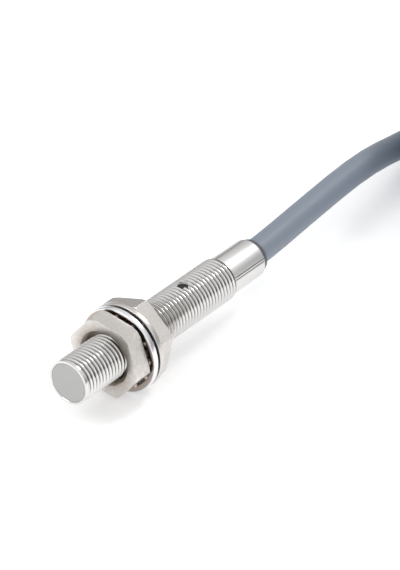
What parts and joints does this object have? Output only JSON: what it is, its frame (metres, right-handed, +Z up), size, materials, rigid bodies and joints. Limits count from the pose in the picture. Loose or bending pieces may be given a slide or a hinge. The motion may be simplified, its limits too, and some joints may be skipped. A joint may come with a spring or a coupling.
{
  "type": "inductive proximity sensor",
  "caption": "Short threaded-barrel inductive proximity sensor with flat sensing face, two hexagon nuts with washers, side lamp window and fixed cable.",
  "frame": {"origin": "centre of the sensing face", "axes": "+Y along the barrel towards the cable, +Z up when the sensor lies on its washers with the lamp window on top"},
  "size_m": [0.0352, 0.1271, 0.016],
  "materials": {
    "barrel_metal": "bright turned stainless steel",
    "nut_metal": "satin nickel plate",
    "washer_metal": "bright nickel plate",
    "face_plastic": "fine matt moulding",
    "ferrite": "sintered",
    "bobbin_plastic": "moulded",
    "copper_wire": "enamelled copper",
    "board_green": "solder mask",
    "chip_black": "moulded",
    "capacitor_tan": "ceramic",
    "led_body": "clear resin",
    "window_clear": "clear moulding",
    "solder": "tinned",
    "wire_brown": "extruded",
    "wire_blue": "extruded",
    "wire_black": "extruded",
    "resin": "cast",
    "grommet_rubber": "moulded",
    "cable_sheath": "satin extruded",
    "tie_plastic": "moulded"
  },
  "bodies": {
    "barrel": {"barrel_housing": "barrel_metal", "sensing_cap": "face_plastic", "ferrite_core": "ferrite", "coil_bobbin": "bobbin_plastic", "coil_winding": "copper_wire", "circuit_board": "board_green", "sensor_chip": "chip_black", "output_transistor": "chip_black", "capacitors": "capacitor_tan", "resistors": "chip_black", "indicator_led": "led_body", "led_window": "window_clear", "solder_joints": "solder", "wire_brown": "wire_brown", "wire_blue": "wire_blue", "wire_black": "wire_black", "potting": "resin", "cable_grommet": "grommet_rubber", "cable_run": "cable_sheath", "cable_hank": "cable_sheath", "cable_tie": "tie_plastic", "cable_end": "cable_sheath", "lead_brown": "wire_brown", "lead_blue": "wire_blue", "lead_black": "wire_black", "lead_tips": "solder"},
    "lock_washer": {"lock_washer": "washer_metal"},
    "front_nut": {"front_nut": "nut_metal"},
    "flat_washer": {"flat_washer": "washer_metal"},
    "rear_nut": {"rear_nut": "nut_metal"}
  },
  "joints": [
    {"name": "lock_washer_travel", "type": "slide", "parent": "barrel", "child": "lock_washer", "axis": [0, 1, 0], "range_m": [-0.0055, 0]},
    {"name": "front_nut_spin", "type": "hinge", "parent": "lock_washer", "child": "front_nut", "pos_m": [0, 0.00665, 0], "axis": [0, 1, 0], "range_deg": [-3960, 0]},
    {"name": "flat_washer_travel", "type": "slide", "parent": "barrel", "child": "flat_washer", "axis": [0, 1, 0], "range_m": [0, 0.013]},
    {"name": "rear_nut_spin", "type": "hinge", "parent": "flat_washer", "child": "rear_nut", "pos_m": [0, 0.01057, 0], "axis": [0, 1, 0], "range_deg": [0, 9360]}
  ],
  "couplings": [
    {"joint": "front_nut_spin", "follows": "lock_washer_travel", "rad_per_m": 12566},
    {"joint": "rear_nut_spin", "follows": "flat_washer_travel", "rad_per_m": 12566}
  ]
}
